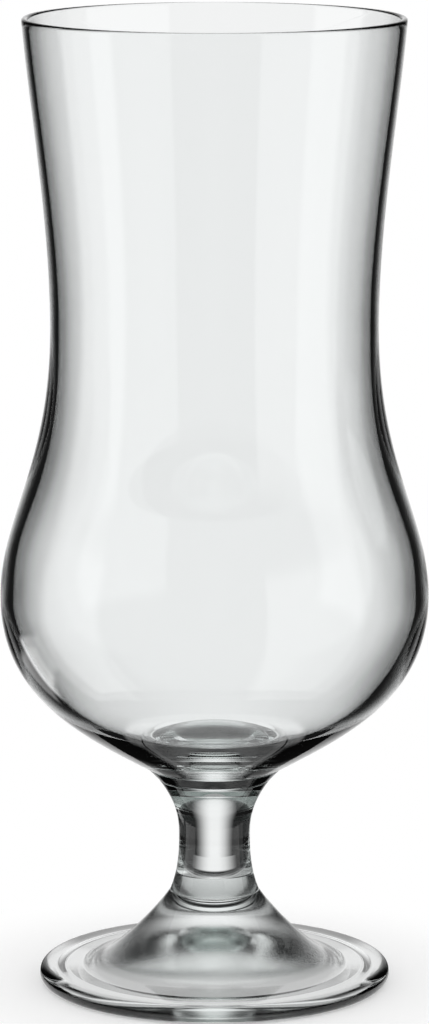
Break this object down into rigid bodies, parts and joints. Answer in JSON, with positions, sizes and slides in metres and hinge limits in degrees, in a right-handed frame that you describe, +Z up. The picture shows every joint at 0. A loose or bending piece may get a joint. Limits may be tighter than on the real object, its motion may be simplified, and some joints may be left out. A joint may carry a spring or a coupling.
{
  "type": "hurricane glass",
  "caption": "Clear footed drinking glass with a flared mouth, drawn-in waist, round belly, short solid stem and pressed foot.",
  "frame": {"origin": "centre of the resting ring's plane, on the glass's axis: the middle of the bounding box's bottom", "axes": "+Z up the glass's axis, from the table through the mouth; X and Y are alike because the glass is turned"},
  "size_m": [0.088, 0.088, 0.2],
  "materials": {
    "bowl_glass": "clear blown glass, fire-polished",
    "stem_glass": "clear solid glass, fire-polished",
    "foot_glass": "clear pressed glass, fire-polished"
  },
  "bodies": {
    "root": {"bowl": "bowl_glass", "collar": "stem_glass", "stem": "stem_glass", "foot": "foot_glass"}
  },
  "joints": []
}
